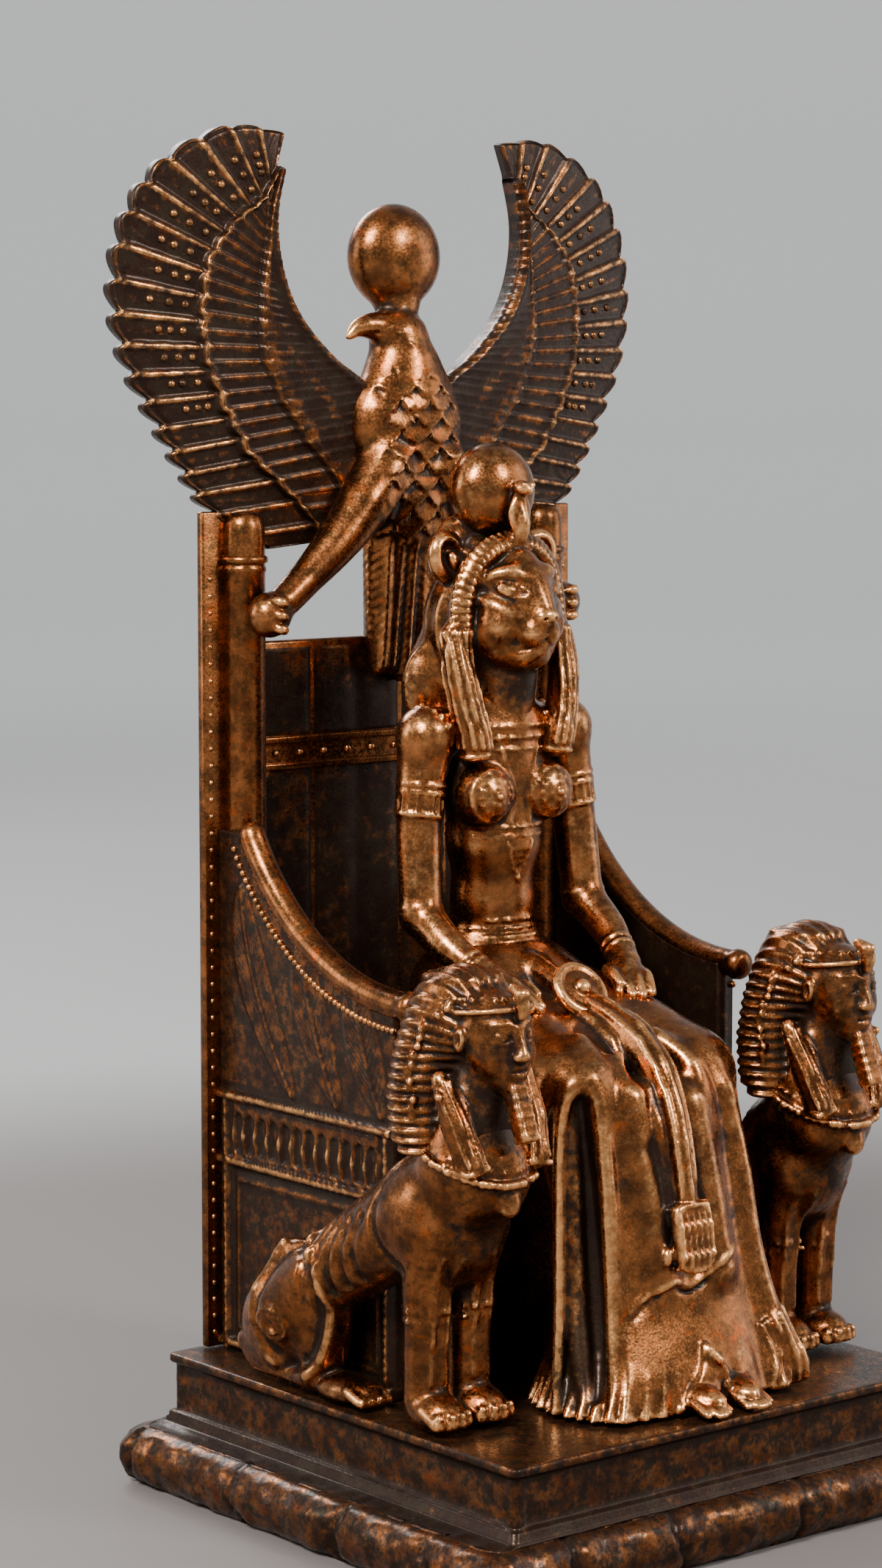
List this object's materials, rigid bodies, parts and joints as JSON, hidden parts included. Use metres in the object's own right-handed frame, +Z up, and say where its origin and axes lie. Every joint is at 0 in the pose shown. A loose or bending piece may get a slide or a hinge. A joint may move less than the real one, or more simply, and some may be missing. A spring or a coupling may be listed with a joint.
{
  "type": "egyptian lioness goddess throne statue",
  "caption": "Copper-finished statue of a seated lioness-headed goddess on a falcon-winged throne flanked by seated sphinxes, on a stepped plinth.",
  "frame": {"origin": "middle of the plinth's underside", "axes": "+Z up and the longest extent, the goddess faces -Y, and her left side is +X"},
  "size_m": [0.1332, 0.118, 0.2644],
  "materials": {
    "plinth_copper": "dark mottled brown-black patina with copper rubbed on the edges, satin",
    "throne_copper": "aged copper, dark brown in the recesses and bright orange on the edges, satin",
    "figure_copper": "burnished copper with golden highlights and dark recesses, semi-gloss",
    "sphinx_copper": "burnished copper with dark brown recesses, semi-gloss"
  },
  "bodies": {
    "root": {"plinth": "plinth_copper", "winged_throne": "throne_copper", "lion_goddess": "figure_copper", "sphinx_left": "sphinx_copper", "sphinx_right": "sphinx_copper"}
  },
  "joints": []
}
